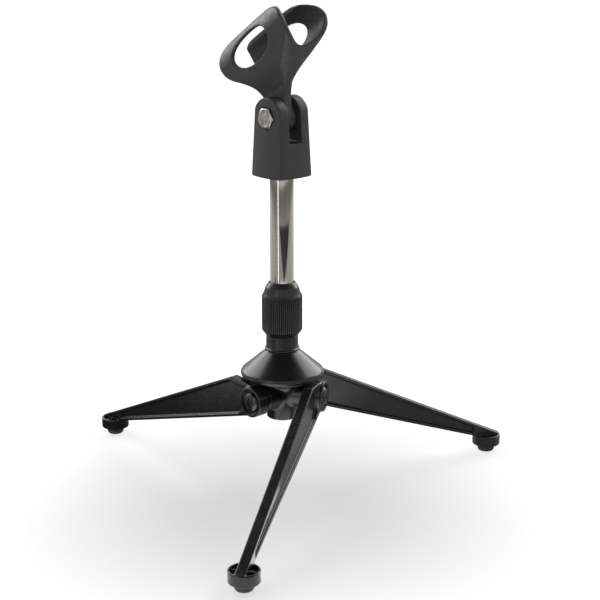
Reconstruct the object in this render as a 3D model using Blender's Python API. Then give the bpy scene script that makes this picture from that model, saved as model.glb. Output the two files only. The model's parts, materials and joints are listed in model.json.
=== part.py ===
"""Desktop tripod microphone stand: folding legs, a sliding tube and a tilting microphone clip.

The stand's centre line is vertical. Each leg lies in a vertical plane beside that line, and
swings about a screw that points straight out from it, so the three legs make a pinwheel.
Sizes are in millimetres and turned into metres when a mesh is made.
"""
import math

import bmesh
import bpy
from mathutils import Matrix, Vector

MM = 0.001
GAP = 0.3                       # clearance between neighbouring pieces

# Footprint
FOOT_CIRCLE_RADIUS = 162.7      # centre line of the stand to the middle of a rubber foot
LEG_OFFSET = 24.6               # centre line of the stand to the middle plane of a leg
LEGS = {"front": -90.0, "right": 30.0, "left": 150.0}    # direction of each foot, degrees
STAND_Y = FOOT_CIRCLE_RADIUS / 4.0       # puts the middle of the footprint at the origin

# Leg
PIVOT_Z = 66.5
KNUCKLE_RADIUS = 10.5
KNUCKLE_INNER = -3.7            # faces of the knuckle, measured from the leg's middle plane
KNUCKLE_OUTER = 5.8
KNUCKLE_RECESS_RADIUS = 8.4
KNUCKLE_RECESS_DEPTH = 2.2
BLADE_HALF = 3.4
RIM = 2.6                       # height of the ribs that frame the web
WEB_RECESS = 1.9
SHOULDER_X = 22.0               # outer end of the flat that stops against the hub
SHOULDER_RISE = 2.2
TOP_SLOPE = 0.448
BOTTOM_SLOPE = 0.293
BOTTOM_AT_PIVOT = -9.95
BOSS_RADIUS = 10.1
BOSS_BOTTOM = 5.0
BOSS_TOP = 12.8
BOSS_WALL = 1.7
BOSS_POCKET = 2.2

# Rubber foot
PAD_RADIUS = 6.2
PAD_TOP = 4.7
STEM_RADIUS = 3.0
STEM_TOP = 9.0

# Leg screw and washer
SCREW_RADIUS = 2.6
SCREW_HEAD_RADIUS = 6.7
SCREW_HEAD_HEIGHT = 3.4
SCREW_LENGTH = 14.5
WASHER_RADIUS = 8.4
WASHER_THICKNESS = 1.2

# Hub
HUB_BOTTOM = 49.6
HUB_NECK_RADIUS = 10.8
HUB_FLARE = 11.5
RIM_UNDERSIDE = 78.8
RIM_RADIUS = 28.5
RIM_WIDEST_Z = 81.0
CONE_TOP_RADIUS = 11.9
HUB_TOP = 98.3
LUG_RADIUS = 8.9
HUB_BORE_RADIUS = 8.9
COLUMN_SEAT_Z = 80.3
CAP_THICKNESS = 3.7

# Column and clutch
COLLAR_RADIUS = 11.0
COLLAR_TOP = 108.5
SPIGOT_RADIUS = 10.3
COLUMN_TOP = 127.0
LIP_RADIUS = 8.35
LIP_THICKNESS = 3.0
NUT_BOTTOM = 108.8
NUT_FOOT_RADIUS = 11.1
NUT_CHAMFER = 3.2
KNURL_RADIUS = 13.8
KNURL_DEPTH = 0.4
KNURL_RIBS = 40
KNURL_TOP = 136.1
NUT_TOP = 145.4
NUT_TOP_RADIUS = 9.3
NUT_MOUTH_RADIUS = 8.4
COLLET_BOTTOM = 127.4
COLLET_TOP = 142.6
COLLET_HEAD_RADIUS = 9.0
COLLET_SLIT = 1.6

# Sliding tube
TUBE_RADIUS = 8.0
TUBE_BORE = 6.6
TUBE_BOTTOM = 119.3
TUBE_TOP = 219.6
BUSH_RADIUS = 8.6
BUSH_HEIGHT = 5.0
STUD_RADIUS = 7.8
STUD_TOP = 232.0

# Yoke of the microphone clip
HEAD_AZIMUTH = 229.0            # direction in which the pivot bolt's head points, degrees
YOKE_BOTTOM = 217.5
YOKE_HALF_BOTTOM = 14.3
YOKE_HALF_PIVOT = 12.8
YOKE_BULGE = 0.9                # how far each side stands proud between its edges
TILT_Z = 256.6
EAR_HEIGHT = 13.4
SLOT_HALF = 5.3
SLOT_FLOOR = 240.4
INSERT_RADIUS = 10.2
INSERT_TOP = 233.6

# Pivot bolt, M8
BOLT_RADIUS = 3.9
HEX_ACROSS_FLATS = 13.0
HEX_RECESS_DEPTH = 3.9
HEX_PROUD = 1.2
TILT_WASHER_RADIUS = 8.6
TILT_WASHER_THICKNESS = 1.15

# Microphone clip, in its own frame: x along the microphone, y along the bolt, z up
CLIP_TILT = 31.5
TONGUE_RADIUS = 10.5
TONGUE_HALF = 3.75
BORE_CENTRE_Z = 44.7
BORE_RADIUS = 15.0
CLIP_WALL = 3.4
MOUTH_HALF = 8.5
MOUTH_TOP = 66.0
CLIP_TAPER = 0.0022             # the clip widens towards its front by this share for each mm
TAPER_X = 15.0                  # where the cradle has its nominal width
WINDOW_CENTRE = (14.1, 44.0)
WINDOW_HALF = (20.5, 10.0)
WINDOW_POWER = 2.2


def clear_scene():
    """Remove every object of the open file."""
    for item in list(bpy.data.objects):
        bpy.data.objects.remove(item, do_unlink=True)


def finish_material(name, colour, roughness, metallic):
    """Make a plain finish."""
    material = bpy.data.materials.new(name)
    material.use_nodes = True
    shader = material.node_tree.nodes["Principled BSDF"]
    shader.inputs["Base Color"].default_value = (*colour, 1.0)
    shader.inputs["Roughness"].default_value = roughness
    shader.inputs["Metallic"].default_value = metallic
    return material


def object_from(name, work):
    """Turn a bmesh drawn in millimetres into an object in metres."""
    bmesh.ops.recalc_face_normals(work, faces=work.faces)
    bmesh.ops.scale(work, vec=(MM, MM, MM), verts=work.verts)
    mesh = bpy.data.meshes.new(name)
    work.to_mesh(mesh)
    work.free()
    item = bpy.data.objects.new(name, mesh)
    bpy.context.scene.collection.objects.link(item)
    return item


def prism(name, outline, low, high, plane="XZ"):
    """Extrude a closed outline between two depths across its plane."""
    work = bmesh.new()
    corners = []
    for first, second in outline:
        corner = (first, low, second) if plane == "XZ" else (low, first, second)
        if plane == "XY":
            corner = (first, second, low)
        corners.append(work.verts.new(corner))
    face = work.faces.new(corners)
    swept = bmesh.ops.extrude_face_region(work, geom=[face])
    moved = [part for part in swept["geom"] if isinstance(part, bmesh.types.BMVert)]
    depth = high - low
    step = {"XZ": (0, depth, 0), "YZ": (depth, 0, 0), "XY": (0, 0, depth)}[plane]
    bmesh.ops.translate(work, vec=step, verts=moved)
    return object_from(name, work)


def turned(name, profile, segments=36):
    """Spin a closed (radius, height) profile round the Z axis."""
    work = bmesh.new()
    corners = [work.verts.new((radius, 0.0, height)) for radius, height in profile]
    edges = [work.edges.new((corners[i - 1], corners[i])) for i in range(len(corners))]
    bmesh.ops.spin(work, geom=corners + edges, axis=(0, 0, 1), cent=(0, 0, 0),
                   steps=segments, angle=math.tau, use_merge=True)
    bmesh.ops.remove_doubles(work, verts=work.verts, dist=0.0005)
    thin = [edge for edge in work.edges if not edge.link_faces]
    bmesh.ops.delete(work, geom=thin, context="EDGES")
    return object_from(name, work)


def cylinder(name, radius, low, high, axis="Z", centre=(0.0, 0.0), segments=32):
    """A plain round bar along one axis; centre is its place on the other two."""
    tool = turned(name, [(0, low), (radius, low), (radius, high), (0, high)], segments)
    first, second = centre[0] * MM, centre[1] * MM
    if axis == "Y":
        place = Matrix.Translation((first, 0, second)) @ Matrix.Rotation(-math.pi / 2, 4, "X")
    elif axis == "X":
        place = Matrix.Translation((0, first, second)) @ Matrix.Rotation(math.pi / 2, 4, "Y")
    else:
        place = Matrix.Translation((first, second, 0))
    tool.data.transform(place)
    return tool


def combine(base, tool, operation):
    """Apply one exact Boolean to the base and delete the tool."""
    modifier = base.modifiers.new("Combine", "BOOLEAN")
    modifier.operation = operation
    modifier.solver = "EXACT"
    modifier.object = tool
    tool.hide_render = True
    tool.display_type = "WIRE"
    graph = bpy.context.evaluated_depsgraph_get()
    result = bpy.data.meshes.new_from_object(base.evaluated_get(graph))
    result.name = base.name
    base.modifiers.clear()
    base.data = result
    bpy.data.objects.remove(tool, do_unlink=True)
    return base


def cut(base, *tools):
    """Take each tool away from the base."""
    for tool in tools:
        combine(base, tool, "DIFFERENCE")
    return base


def fuse(base, *tools):
    """Join each tool to the base."""
    for tool in tools:
        combine(base, tool, "UNION")
    return base


def dress(item, material, parent=None, sharp=35.0):
    """Give a sub-part its finish, its shading and its parent."""
    item.data.materials.clear()
    item.data.materials.append(material)
    item.data.shade_smooth()
    item.data.set_sharp_from_angle(angle=math.radians(sharp))
    item.parent = parent
    return item


def empty(name, place, turn=0.0, lean=0.0, parent=None):
    """A joint's frame: turned about Z, then leaned about its own Y axis."""
    frame = bpy.data.objects.new(name, None)
    bpy.context.scene.collection.objects.link(frame)
    frame.rotation_euler = (0.0, math.radians(lean), math.radians(turn))
    frame.location = Vector(place) * MM
    frame.parent = parent
    return frame


def arc(centre, radius, start, end, steps):
    """Points along a circle's arc, in degrees."""
    points = []
    for step in range(steps + 1):
        angle = math.radians(start + (end - start) * step / steps)
        points.append((centre[0] + radius * math.cos(angle), centre[1] + radius * math.sin(angle)))
    return points


def smooth_path(points, steps=4):
    """A Catmull-Rom curve through the points, from the second one to the last but one."""
    path = []
    for index in range(1, len(points) - 2):
        before, start, end, after = points[index - 1:index + 3]
        for step in range(steps):
            t = step / steps
            path.append(tuple(
                0.5 * (2 * start[k] + (end[k] - before[k]) * t
                       + (2 * before[k] - 5 * start[k] + 4 * end[k] - after[k]) * t * t
                       + (3 * start[k] - before[k] - 3 * end[k] + after[k]) * t ** 3)
                for k in range(2)))
    path.append(points[-2])
    return path


def superellipse(centre, half, power, steps):
    """A closed oval whose corners are fuller than an ellipse's when power is over 2."""
    outline = []
    for step in range(steps):
        angle = math.tau * step / steps
        x, y = math.cos(angle), math.sin(angle)
        outline.append((centre[0] + half[0] * math.copysign(abs(x) ** (2 / power), x),
                        centre[1] + half[1] * math.copysign(abs(y) ** (2 / power), y)))
    return outline


def hexagon(across_flats):
    """Corners of a hexagon with flats above and below."""
    return arc((0, 0), across_flats / math.sqrt(3), 0, 300, 5)


# --- Legs -------------------------------------------------------------------------------

def foot_x():
    """Distance from a leg's screw to its foot, along the leg."""
    return math.sqrt(FOOT_CIRCLE_RADIUS ** 2 - LEG_OFFSET ** 2)


def leg_top(x):
    """Height of the top edge above the screw."""
    return KNUCKLE_RADIUS + SHOULDER_RISE - TOP_SLOPE * (x - SHOULDER_X)


def leg_bottom(x):
    """Height of the bottom edge above the screw."""
    return BOTTOM_AT_PIVOT - BOTTOM_SLOPE * x


def blade_outline():
    """Side view of a leg without its foot boss."""
    end = foot_x() + BOSS_RADIUS - 1.0
    floor = BOSS_BOTTOM + 3.0 - PIVOT_Z
    low_end = (BOTTOM_AT_PIVOT - floor) / BOTTOM_SLOPE
    round_end = arc((0, 0), KNUCKLE_RADIUS, 90, 256, 12)
    tip = [(low_end, floor), (end, floor), (end, leg_top(end))]
    return round_end + tip + [(SHOULDER_X, leg_top(SHOULDER_X))]


def web_outline():
    """The sunk panel between the ribs."""
    start = arc((0, 0), KNUCKLE_RADIUS + 0.9, -36, 42, 5)
    end = foot_x() - BOSS_RADIUS - 1.5
    low = [(x, leg_bottom(x) + RIM * 1.04) for x in (15.0, end)]
    high = [(x, leg_top(x) - RIM * 1.1) for x in (end, SHOULDER_X + 2.0)]
    return low + high + [(15.0, KNUCKLE_RADIUS - RIM)] + start[::-1]


def make_leg_mesh():
    """One leg with its foot boss, round its screw's axis (+Y is outwards)."""
    leg = prism("leg", blade_outline(), -BLADE_HALF, BLADE_HALF)
    for low in (-BLADE_HALF - 1.0, BLADE_HALF - WEB_RECESS):
        cut(leg, prism("panel", web_outline(), low, low + WEB_RECESS + 1.0))
    fuse(leg, cylinder("knuckle", KNUCKLE_RADIUS, KNUCKLE_INNER, KNUCKLE_OUTER, "Y", segments=26))
    middle = (foot_x(), 0.0)
    low, high = BOSS_BOTTOM - PIVOT_Z, BOSS_TOP - PIVOT_Z
    fuse(leg, cylinder("boss", BOSS_RADIUS, low, high, "Z", middle, 26))
    pocket = cylinder("pocket", BOSS_RADIUS - BOSS_WALL, high - BOSS_POCKET, high + 20.0, "Z", middle, 26)
    end = foot_x() + 40.0
    flange = [(0.0, low - 1.0), (end, low - 1.0), (end, 30.0), (0.0, 30.0)]
    cut(pocket, prism("flange", flange, -BLADE_HALF, BLADE_HALF))
    cut(leg, pocket)
    seat = KNUCKLE_OUTER - KNUCKLE_RECESS_DEPTH
    cut(leg, cylinder("recess", KNUCKLE_RECESS_RADIUS, seat, KNUCKLE_OUTER + 2.0, "Y", segments=24),
        cylinder("screw_hole", SCREW_RADIUS + GAP, KNUCKLE_INNER - 2.0, seat + 1.0, "Y", segments=14),
        cylinder("stem_hole", STEM_RADIUS + GAP, low - 1.0, STEM_TOP + GAP - PIVOT_Z, "Z", middle, 14))
    mesh = leg.data
    bpy.data.objects.remove(leg, do_unlink=True)
    return mesh


def make_foot_mesh():
    """Rubber foot with its stem, in the leg's frame."""
    low = -PIVOT_Z
    pad = [(0, low), (PAD_RADIUS - 1.4, low), (PAD_RADIUS - 0.3, low + 1.2), (PAD_RADIUS, low + 2.6)]
    stem = [(PAD_RADIUS, low + PAD_TOP), (STEM_RADIUS, low + PAD_TOP), (STEM_RADIUS, low + STEM_TOP)]
    foot = turned("rubber_foot", pad + stem + [(0, low + STEM_TOP)], 22)
    foot.data.transform(Matrix.Translation((foot_x() * MM, 0, 0)))
    mesh = foot.data
    bpy.data.objects.remove(foot, do_unlink=True)
    return mesh


def make_screw_mesh():
    """Cross-recess screw that a leg swings on, in the leg's frame."""
    seat = KNUCKLE_OUTER - KNUCKLE_RECESS_DEPTH + GAP
    top = seat + SCREW_HEAD_HEIGHT
    dome = arc((0, seat), SCREW_HEAD_HEIGHT, 0, 90, 4)
    head = [(x * SCREW_HEAD_RADIUS / SCREW_HEAD_HEIGHT, y) for x, y in dome]
    profile = [(0, top - SCREW_LENGTH), (SCREW_RADIUS, top - SCREW_LENGTH), (SCREW_RADIUS, seat)] + head
    screw = turned("leg_screw", profile, 20)
    screw.data.transform(Matrix.Rotation(-math.pi / 2, 4, "X"))
    for wide, tall in ((3.1, 0.65), (0.65, 3.1)):
        slot = [(-wide, -tall), (wide, -tall), (wide, tall), (-wide, tall)]
        cut(screw, prism("slot", slot, top - 1.6, top + 1.0))
    mesh = screw.data
    bpy.data.objects.remove(screw, do_unlink=True)
    return mesh


def ring_profile(inner, outer, low, high):
    """Section of a plain ring."""
    return [(inner, low), (outer, low), (outer, high), (inner, high)]


def make_washer_mesh():
    """Friction washer between a leg and the hub, in the leg's frame."""
    high = KNUCKLE_INNER - GAP
    low = high - WASHER_THICKNESS
    inner = SCREW_RADIUS + GAP
    washer = turned("leg_washer", ring_profile(inner, WASHER_RADIUS, low, high), 22)
    washer.data.transform(Matrix.Rotation(-math.pi / 2, 4, "X"))
    mesh = washer.data
    bpy.data.objects.remove(washer, do_unlink=True)
    return mesh


def leg_turn(direction):
    """Direction in which a leg points, in degrees, from that of its foot."""
    return direction - math.degrees(math.asin(LEG_OFFSET / FOOT_CIRCLE_RADIUS))


def build_legs(materials):
    """Place the three legs with their feet, screws and washers."""
    meshes = {"leg": (make_leg_mesh(), "casting"), "rubber_foot": (make_foot_mesh(), "rubber"),
              "leg_screw": (make_screw_mesh(), "screw_steel"), "leg_washer": (make_washer_mesh(), "nylon")}
    for side, direction in LEGS.items():
        turn = leg_turn(direction)
        outward = math.radians(turn + 90.0)
        place = (LEG_OFFSET * math.cos(outward), STAND_Y + LEG_OFFSET * math.sin(outward), PIVOT_Z)
        frame = empty("leg_" + side + "_hinge", place, turn)
        for base, (mesh, slot) in meshes.items():
            item = bpy.data.objects.new(base + "_" + side, mesh)
            bpy.context.scene.collection.objects.link(item)
            dress(item, materials[slot], frame)


# --- Hub, column and clutch ---------------------------------------------------------------

def hub_profile():
    """Right half of the hub: neck, flare, rim and cone."""
    flare = arc((HUB_NECK_RADIUS + HUB_FLARE, RIM_UNDERSIDE - HUB_FLARE), HUB_FLARE, 180, 90, 5)
    rim = arc((RIM_RADIUS - 2.2, RIM_UNDERSIDE + 2.2), 2.2, -90, 42, 4)
    foot = arc((HUB_NECK_RADIUS - 1.2, HUB_BOTTOM + 1.2), 1.2, -90, 0, 2)
    return [(0, HUB_BOTTOM)] + foot + flare + rim + [(CONE_TOP_RADIUS, HUB_TOP - 0.6),
                                                     (CONE_TOP_RADIUS - 0.5, HUB_TOP), (0, HUB_TOP)]


def build_hub(materials, column):
    """The casting that the legs hang from, and the cap that closes its bore."""
    hub = turned("hub_casting", hub_profile(), 40)
    face = LEG_OFFSET + KNUCKLE_INNER - WASHER_THICKNESS - 2 * GAP
    tip = LEG_OFFSET + KNUCKLE_OUTER - KNUCKLE_RECESS_DEPTH + GAP + SCREW_HEAD_HEIGHT - SCREW_LENGTH
    for direction in LEGS.values():
        spin = Matrix.Rotation(math.radians(leg_turn(direction) + 90.0), 4, "Z")
        lug = cylinder("lug", LUG_RADIUS, 4.0, face, "X", (0.0, PIVOT_Z), 22)
        lug.data.transform(spin)
        fuse(hub, lug)
    for direction in LEGS.values():
        spin = Matrix.Rotation(math.radians(leg_turn(direction) + 90.0), 4, "Z")
        hole = cylinder("hole", SCREW_RADIUS + GAP, tip - GAP, face + 5.0, "X", (0.0, PIVOT_Z), 12)
        hole.data.transform(spin)
        cut(hub, hole)
    cut(hub, cylinder("bore", HUB_BORE_RADIUS, HUB_BOTTOM - 5.0, HUB_TOP + 5.0),
        cylinder("seat", SPIGOT_RADIUS + GAP, COLUMN_SEAT_Z, HUB_TOP + 5.0))
    dress(hub, materials["casting"], column)
    radius = HUB_BORE_RADIUS - GAP
    top = HUB_BOTTOM + CAP_THICKNESS
    edge = [(radius - 0.6, HUB_BOTTOM), (radius, HUB_BOTTOM + 0.6), (radius, top)]
    cap = turned("hub_bottom_cap", [(0, HUB_BOTTOM)] + edge + [(0, top)], 28)
    dress(cap, materials["black_plastic"], column)


def build_column(materials, column):
    """The fixed outer tube, with the thread for the clutch above its collar."""
    low, shoulder = COLUMN_SEAT_Z + GAP, HUB_TOP + GAP
    lip = COLUMN_TOP - LIP_THICKNESS
    profile = [(HUB_BORE_RADIUS, low), (SPIGOT_RADIUS, low), (SPIGOT_RADIUS, shoulder),
               (COLLAR_RADIUS, shoulder), (COLLAR_RADIUS, COLLAR_TOP - 0.4),
               (COLLAR_RADIUS - 0.4, COLLAR_TOP), (SPIGOT_RADIUS, COLLAR_TOP), (SPIGOT_RADIUS, COLUMN_TOP),
               (LIP_RADIUS, COLUMN_TOP), (LIP_RADIUS, lip), (HUB_BORE_RADIUS, lip)]
    dress(turned("column_tube", profile), materials["casting"], column)


def knurl_outline():
    """Zigzag round the nut's grip."""
    outline = []
    for point in range(2 * KNURL_RIBS):
        angle = math.tau * point / (2 * KNURL_RIBS)
        radius = KNURL_RADIUS if point % 2 else KNURL_RADIUS - KNURL_DEPTH
        outline.append((radius * math.cos(angle), radius * math.sin(angle)))
    return outline


def build_clutch(materials, frame):
    """The knurled nut whose inner cone squeezes the split collet."""
    inner = SPIGOT_RADIUS + GAP
    root = KNURL_RADIUS - KNURL_DEPTH
    knurl_bottom = NUT_BOTTOM + NUT_CHAMFER
    outside = [(inner, NUT_BOTTOM), (NUT_FOOT_RADIUS, NUT_BOTTOM), (root, knurl_bottom), (root, KNURL_TOP),
               (KNURL_RADIUS - 1.2, KNURL_TOP + 1.7), (NUT_TOP_RADIUS + 1.9, NUT_TOP - 3.2),
               (NUT_TOP_RADIUS, NUT_TOP - 0.3), (NUT_TOP_RADIUS - 0.3, NUT_TOP)]
    inside = [(NUT_MOUTH_RADIUS, NUT_TOP), (NUT_MOUTH_RADIUS, COLLET_TOP + GAP),
              (COLLET_HEAD_RADIUS + GAP, COLLET_TOP + GAP), (inner, COLLET_BOTTOM)]
    nut = turned("clutch_nut", outside + inside, 40)
    ring = prism("grip", knurl_outline(), knurl_bottom, KNURL_TOP, "XY")
    cut(ring, cylinder("grip_bore", KNURL_RADIUS - 2.0, knurl_bottom - 1.0, KNURL_TOP + 1.0))
    fuse(nut, ring)
    dress(nut, materials["casting"], frame)


def build_collet(materials, column):
    """Split nylon ring, narrower at the top, that the nut squeezes on the tube."""
    bore = TUBE_RADIUS + GAP
    profile = [(bore, COLLET_BOTTOM), (SPIGOT_RADIUS - 0.2, COLLET_BOTTOM),
               (COLLET_HEAD_RADIUS, COLLET_TOP), (bore, COLLET_TOP)]
    collet = turned("clutch_collet", profile)
    half = COLLET_SLIT / 2
    slit = [(5.0, -half), (15.0, -half), (15.0, half), (5.0, half)]
    cut(collet, prism("slit", slit, COLLET_BOTTOM - 1.0, COLLET_TOP + 1.0, "XY"))
    dress(collet, materials["nylon"], column)


def build_tube(materials, frame):
    """The sliding tube with the bush that stops it and the stud that carries the clip."""
    section = ring_profile(TUBE_BORE, TUBE_RADIUS, TUBE_BOTTOM, TUBE_TOP)
    dress(turned("inner_tube", section, 48), materials["chrome"], frame)
    high = TUBE_BOTTOM - GAP
    plug = TUBE_BORE - GAP
    bush = [(4.0, high - BUSH_HEIGHT), (BUSH_RADIUS, high - BUSH_HEIGHT), (BUSH_RADIUS, high), (plug, high),
            (plug, high + 8.0), (4.0, high + 8.0)]
    dress(turned("tube_stop_bush", bush, 28), materials["nylon"], frame)
    shoulder = TUBE_TOP + GAP
    stud = [(0, TUBE_TOP - 14.0), (plug, TUBE_TOP - 14.0), (plug, shoulder), (STUD_RADIUS, shoulder),
            (STUD_RADIUS, STUD_TOP - 0.8), (STUD_RADIUS - 0.8, STUD_TOP), (0, STUD_TOP)]
    dress(turned("threaded_stud", stud, 28), materials["screw_steel"], frame)


# --- Microphone clip ------------------------------------------------------------------------

def bowed_square(half):
    """A square with four gently bowed sides."""
    outline = []
    for side in range(4):
        turn = math.radians(90.0 * side)
        for step in range(6):
            along = -half + 2.0 * half * step / 6
            out = half + YOKE_BULGE * (1.0 - (along / half) ** 2)
            outline.append((out * math.cos(turn) - along * math.sin(turn),
                            out * math.sin(turn) + along * math.cos(turn)))
    return outline


def tapered_block(name, low, high, half_low, half_high):
    """Loft between two bowed squares."""
    work = bmesh.new()
    rings = []
    for height, half in ((low, half_low), (high, half_high)):
        rings.append([work.verts.new((x, y, height)) for x, y in bowed_square(half)])
    count = len(rings[0])
    for index in range(count):
        after = (index + 1) % count
        work.faces.new((rings[0][index], rings[0][after], rings[1][after], rings[1][index]))
    work.faces.new(rings[0][::-1])
    work.faces.new(rings[1])
    return object_from(name, work)


def build_yoke(materials, frame):
    """The forked head that screws on the stud; x is the bolt's direction."""
    top = TILT_Z + EAR_HEIGHT
    slope = (YOKE_HALF_PIVOT - YOKE_HALF_BOTTOM) / (TILT_Z - YOKE_BOTTOM)
    high = top + 1.0
    yoke = tapered_block("clip_yoke", YOKE_BOTTOM, high, YOKE_HALF_BOTTOM,
                         YOKE_HALF_BOTTOM + slope * (high - YOKE_BOTTOM))
    wide = YOKE_HALF_BOTTOM + 4.0
    crown = [(y * (YOKE_HALF_PIVOT + YOKE_BULGE) / EAR_HEIGHT, z + TILT_Z)
             for y, z in arc((0, 0), EAR_HEIGHT, 0, 180, 14)]
    sill = YOKE_BOTTOM - 5.0
    gable = [(-wide, sill), (wide, sill), (wide, TILT_Z)] + crown + [(-wide, TILT_Z)]
    combine(yoke, prism("gable", gable, -wide, wide, "YZ"), "INTERSECT")
    slot = [(-SLOT_HALF, SLOT_FLOOR), (SLOT_HALF, SLOT_FLOOR)]
    slot += [(SLOT_HALF, top + 5.0), (-SLOT_HALF, top + 5.0)]
    cut(yoke, prism("slot", slot, -wide, wide))
    cut(yoke, cylinder("bolt_hole", BOLT_RADIUS + GAP, -wide, wide, "X", (0.0, TILT_Z), 20))
    recess_floor = YOKE_HALF_PIVOT + YOKE_BULGE - HEX_RECESS_DEPTH
    pocket = [(y, z + TILT_Z) for y, z in hexagon(HEX_ACROSS_FLATS + 2 * GAP + 0.3)]
    cut(yoke, prism("head_pocket", pocket, recess_floor, wide, "YZ"),
        prism("nut_pocket", pocket, -wide, -recess_floor, "YZ"),
        cylinder("bore", INSERT_RADIUS + GAP, sill, INSERT_TOP + GAP))
    dress(yoke, materials["black_plastic"], frame)
    inner = STUD_RADIUS + 0.5
    low = YOKE_BOTTOM + 0.8
    insert = ring_profile(inner, INSERT_RADIUS, low, INSERT_TOP)
    dress(turned("yoke_insert", insert, 28), materials["brass"], frame)


def build_pivot(materials, frame):
    """Bolt and nut through the yoke; x is the bolt's direction."""
    seat = YOKE_HALF_PIVOT + YOKE_BULGE - HEX_RECESS_DEPTH + GAP
    face = YOKE_HALF_PIVOT + YOKE_BULGE + HEX_PROUD
    hexes = [(y, z + TILT_Z) for y, z in hexagon(HEX_ACROSS_FLATS)]
    bolt = prism("pivot_bolt", hexes, seat, face, "YZ")
    chamfer = [(0, seat - 1.0), (9.0, seat - 1.0), (9.0, face - 1.6),
               (HEX_ACROSS_FLATS * 0.475, face + 0.01), (0, face + 0.01)]
    round_off = turned("chamfer", chamfer, 36)
    round_off.data.transform(Matrix.Translation((0, 0, TILT_Z * MM)) @ Matrix.Rotation(math.pi / 2, 4, "Y"))
    combine(bolt, round_off, "INTERSECT")
    fuse(bolt, cylinder("shank", BOLT_RADIUS, -face + 0.5, seat + 1.0, "X", (0.0, TILT_Z), 20))
    dress(bolt, materials["nickel"], frame)
    nut = prism("pivot_nut", hexes, -face + 1.5, -seat, "YZ")
    cut(nut, cylinder("thread", BOLT_RADIUS + GAP, -face, 0.0, "X", (0.0, TILT_Z), 20))
    dress(nut, materials["nickel"], frame)


def build_tilt_washers(materials, frame):
    """Thin washers on both sides of the clip's tongue."""
    low = TONGUE_HALF + (SLOT_HALF - TONGUE_HALF - TILT_WASHER_THICKNESS) / 2
    high = low + TILT_WASHER_THICKNESS
    inner = BOLT_RADIUS + GAP
    section = ring_profile(inner, TILT_WASHER_RADIUS, low, high)
    lift = Matrix.Translation((0, 0, TILT_Z * MM))
    for name, sign in (("tilt_washer_head", 1), ("tilt_washer_nut", -1)):
        washer = turned(name, section, 24)
        washer.data.transform(lift @ Matrix.Rotation(sign * math.pi / 2, 4, "Y"))
        dress(washer, materials["nylon"], frame)


def side_outline():
    """Side view of the clip: tongue, neck and cradle in one flowing line."""
    flow = smooth_path([(9.0, -6.0), (10.2, 2.0), (12.8, 9.0), (18.7, 15.4), (27.7, 21.0), (40.1, 27.4),
                        (49.6, 34.0), (53.2, 42.0), (52.0, 49.2), (47.7, 54.4), (40.7, 58.4), (31.6, 61.0),
                        (21.4, 61.7), (0.0, 61.7), (-12.8, 60.4), (-18.8, 56.4), (-21.8, 49.6), (-21.0, 41.6),
                        (-17.3, 35.4), (-12.1, 30.2), (-8.4, 25.0), (-6.9, 18.6), (-7.4, 11.0), (-9.9, 3.5),
                        (-10.0, -6.0)], 3)
    return arc((0, 0), TONGUE_RADIUS, 200, 345, 10) + flow


def section_outline():
    """View along the microphone: tongue, flare and the walls that wrap round the trough."""
    flare = smooth_path([(2.0, 12.0), (TONGUE_HALF, 16.0), (6.6, 20.5), (11.6, 26.8), (15.7, 33.8),
                         (17.8, 39.8), (18.4, 46.0)], 3)
    wrap = arc((0, BORE_CENTRE_Z), BORE_RADIUS + CLIP_WALL, 0, 68, 8)
    half = [(TONGUE_HALF, -14.0)] + flare[:-1] + wrap
    return half + [(-y, z) for y, z in half[::-1]]


def bore_outline():
    """View along the microphone: the round trough and its narrower mouth."""
    lip = math.degrees(math.acos(MOUTH_HALF / BORE_RADIUS))
    trough = arc((0, BORE_CENTRE_Z), BORE_RADIUS, -180 - lip, lip, 24)
    return trough + [(MOUTH_HALF, MOUTH_TOP), (-MOUTH_HALF, MOUTH_TOP)]


def widen(item):
    """Taper a finished piece that is drawn with straight sides, narrow at its back."""
    for vertex in item.data.vertices:
        vertex.co.y *= 1.0 + CLIP_TAPER * (vertex.co.x / MM - TAPER_X)


def build_clip(materials, frame):
    """The holder itself, in its own frame: x along the microphone, y along the bolt."""
    clip = prism("clip_body", side_outline(), -24.0, 24.0)
    combine(clip, prism("section", section_outline(), -60.0, 90.0, "YZ"), "INTERSECT")
    cut(clip, prism("bore", bore_outline(), -61.0, 91.0, "YZ"))
    window = superellipse(WINDOW_CENTRE, WINDOW_HALF, WINDOW_POWER, 28)
    cut(clip, prism("window", window, -30.0, 30.0),
        cylinder("bolt_hole", BOLT_RADIUS + GAP, -10.0, 10.0, "Y", segments=20))
    widen(clip)
    dress(clip, materials["black_plastic"], frame, 40.0)


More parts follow.
